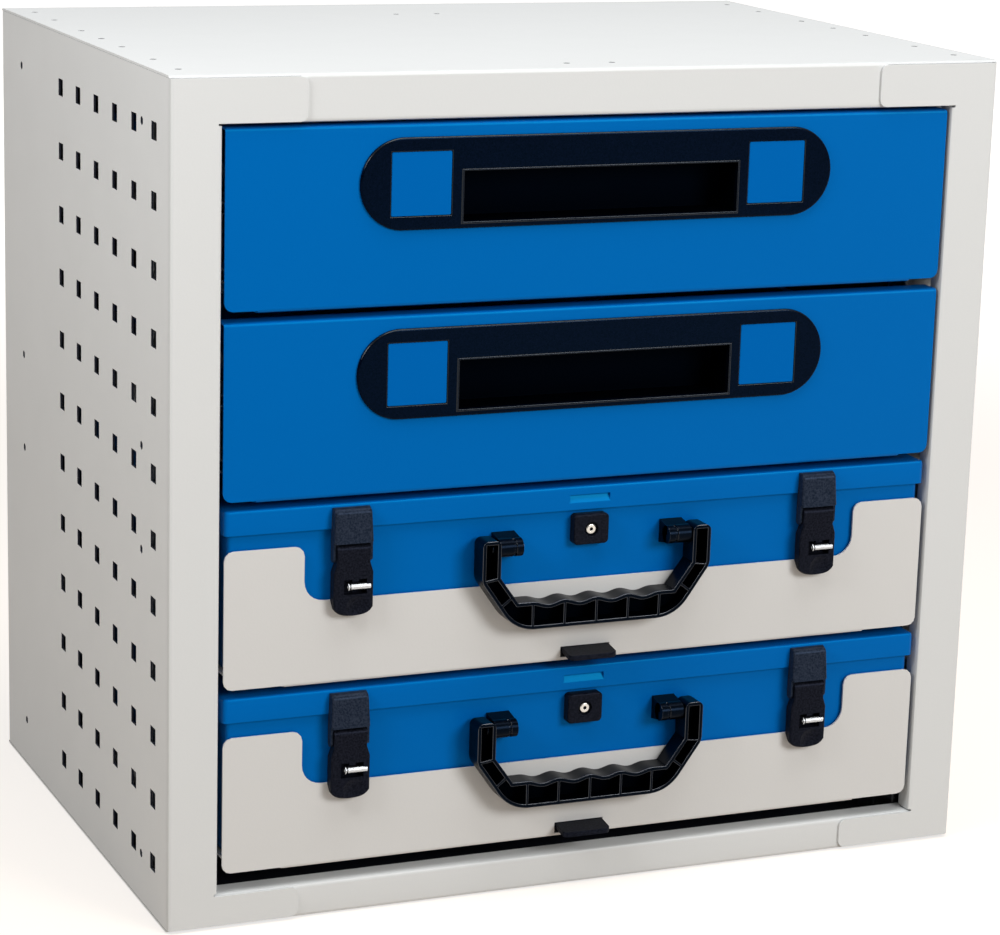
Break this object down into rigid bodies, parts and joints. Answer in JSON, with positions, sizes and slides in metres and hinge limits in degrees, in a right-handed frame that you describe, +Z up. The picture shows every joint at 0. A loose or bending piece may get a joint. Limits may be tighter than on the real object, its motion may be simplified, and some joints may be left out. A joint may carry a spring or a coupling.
{
  "type": "drawer cabinet",
  "caption": "Sheet-steel cabinet with sliding drawers above pull-out trays that each carry a latched tool case with a folding handle.",
  "frame": {"origin": "middle of the cabinet's underside, where it stands", "axes": "+X to the right of someone who faces the drawers, +Y back into the cabinet, +Z up"},
  "size_m": [0.507, 0.3707, 0.484],
  "materials": {
    "cabinet_paint": "satin",
    "blue_paint": "satin",
    "tray_paint": "satin",
    "black_plastic": "fine texture",
    "zinc": "zinc plated",
    "nickel": "nickel plated"
  },
  "bodies": {
    "cabinet": {"top_panel": "cabinet_paint", "bottom_panel": "cabinet_paint", "back_panel": "cabinet_paint", "left_side_panel": "cabinet_paint", "right_side_panel": "cabinet_paint", "left_front_post": "zinc", "left_rear_post": "zinc", "right_front_post": "zinc", "right_rear_post": "zinc", "drawer_1_left_runner_outer": "zinc", "drawer_1_right_runner_outer": "zinc", "drawer_2_left_runner_outer": "zinc", "drawer_2_right_runner_outer": "zinc", "tray_1_left_guide": "zinc", "tray_1_right_guide": "zinc", "tray_2_left_guide": "zinc", "tray_2_right_guide": "zinc"},
    "drawer_1": {"drawer_1": "blue_paint", "drawer_1_grip": "black_plastic", "drawer_1_left_runner_inner": "zinc", "drawer_1_right_runner_inner": "zinc"},
    "drawer_1_runner_middles": {"drawer_1_left_runner_middle": "zinc", "drawer_1_right_runner_middle": "zinc"},
    "drawer_2": {"drawer_2": "blue_paint", "drawer_2_grip": "black_plastic", "drawer_2_left_runner_inner": "zinc", "drawer_2_right_runner_inner": "zinc"},
    "drawer_2_runner_middles": {"drawer_2_left_runner_middle": "zinc", "drawer_2_right_runner_middle": "zinc"},
    "tray_1": {"tray_1": "tray_paint", "case_1_body": "blue_paint", "case_1_lid": "blue_paint", "case_1_hinge": "zinc", "case_1_lock_plate": "black_plastic", "case_1_left_handle_bracket": "black_plastic", "case_1_left_latch_bracket": "black_plastic", "case_1_right_handle_bracket": "black_plastic", "case_1_right_latch_bracket": "black_plastic"},
    "tray_1_catch": {"tray_1_catch": "black_plastic"},
    "case_1_handle": {"case_1_handle": "black_plastic"},
    "case_1_lock_cylinder": {"case_1_lock_cylinder": "nickel"},
    "case_1_left_latch_lever": {"case_1_left_latch_lever": "black_plastic"},
    "case_1_right_latch_lever": {"case_1_right_latch_lever": "black_plastic"},
    "tray_2": {"tray_2": "tray_paint", "case_2_body": "blue_paint", "case_2_lid": "blue_paint", "case_2_hinge": "zinc", "case_2_lock_plate": "black_plastic", "case_2_left_handle_bracket": "black_plastic", "case_2_left_latch_bracket": "black_plastic", "case_2_right_handle_bracket": "black_plastic", "case_2_right_latch_bracket": "black_plastic"},
    "tray_2_catch": {"tray_2_catch": "black_plastic"},
    "case_2_handle": {"case_2_handle": "black_plastic"},
    "case_2_lock_cylinder": {"case_2_lock_cylinder": "nickel"},
    "case_2_left_latch_lever": {"case_2_left_latch_lever": "black_plastic"},
    "case_2_right_latch_lever": {"case_2_right_latch_lever": "black_plastic"}
  },
  "joints": [
    {"name": "drawer_1_slide", "type": "slide", "parent": "cabinet", "child": "drawer_1", "axis": [0, -1, 0], "range_m": [0, 0.29]},
    {"name": "drawer_1_middles_slide", "type": "slide", "parent": "cabinet", "child": "drawer_1_runner_middles", "axis": [0, -1, 0], "range_m": [0, 0.145]},
    {"name": "drawer_2_slide", "type": "slide", "parent": "cabinet", "child": "drawer_2", "axis": [0, -1, 0], "range_m": [0, 0.29]},
    {"name": "drawer_2_middles_slide", "type": "slide", "parent": "cabinet", "child": "drawer_2_runner_middles", "axis": [0, -1, 0], "range_m": [0, 0.145]},
    {"name": "tray_1_slide", "type": "slide", "parent": "cabinet", "child": "tray_1", "axis": [0, -1, 0], "range_m": [0, 0.24]},
    {"name": "tray_1_catch_press", "type": "hinge", "parent": "tray_1", "child": "tray_1_catch", "pos_m": [0, -0.1435, 0.144], "axis": [1, 0, 0], "range_deg": [0, 4.5], "stiffness_Nm_per_rad": 0.5, "springref_deg": -5.73},
    {"name": "case_1_handle_swing", "type": "hinge", "parent": "tray_1", "child": "case_1_handle", "pos_m": [0, -0.185, 0.2124], "axis": [-1, 0, 0], "range_deg": [0, 110]},
    {"name": "case_1_lock_turn", "type": "hinge", "parent": "tray_1", "child": "case_1_lock_cylinder", "pos_m": [0, -0.1775, 0.2176], "axis": [0, 1, 0], "range_deg": [0, 90]},
    {"name": "case_1_left_latch_swing", "type": "hinge", "parent": "tray_1", "child": "case_1_left_latch_lever", "pos_m": [-0.147, -0.1813, 0.2177], "axis": [-1, 0, 0], "range_deg": [0, 90]},
    {"name": "case_1_right_latch_swing", "type": "hinge", "parent": "tray_1", "child": "case_1_right_latch_lever", "pos_m": [0.147, -0.1813, 0.2177], "axis": [-1, 0, 0], "range_deg": [0, 90]},
    {"name": "tray_2_slide", "type": "slide", "parent": "cabinet", "child": "tray_2", "axis": [0, -1, 0], "range_m": [0, 0.24]},
    {"name": "tray_2_catch_press", "type": "hinge", "parent": "tray_2", "child": "tray_2_catch", "pos_m": [0, -0.1435, 0.0356], "axis": [1, 0, 0], "range_deg": [0, 4.5], "stiffness_Nm_per_rad": 0.5, "springref_deg": -5.73},
    {"name": "case_2_handle_swing", "type": "hinge", "parent": "tray_2", "child": "case_2_handle", "pos_m": [0, -0.185, 0.104], "axis": [-1, 0, 0], "range_deg": [0, 110]},
    {"name": "case_2_lock_turn", "type": "hinge", "parent": "tray_2", "child": "case_2_lock_cylinder", "pos_m": [0, -0.1775, 0.1092], "axis": [0, 1, 0], "range_deg": [0, 90]},
    {"name": "case_2_left_latch_swing", "type": "hinge", "parent": "tray_2", "child": "case_2_left_latch_lever", "pos_m": [-0.147, -0.1813, 0.1093], "axis": [-1, 0, 0], "range_deg": [0, 90]},
    {"name": "case_2_right_latch_swing", "type": "hinge", "parent": "tray_2", "child": "case_2_right_latch_lever", "pos_m": [0.147, -0.1813, 0.1093], "axis": [-1, 0, 0], "range_deg": [0, 90]}
  ],
  "couplings": [
    {"joint": "drawer_1_middles_slide", "follows": "drawer_1_slide", "ratio": 0.5},
    {"joint": "drawer_2_middles_slide", "follows": "drawer_2_slide", "ratio": 0.5}
  ]
}
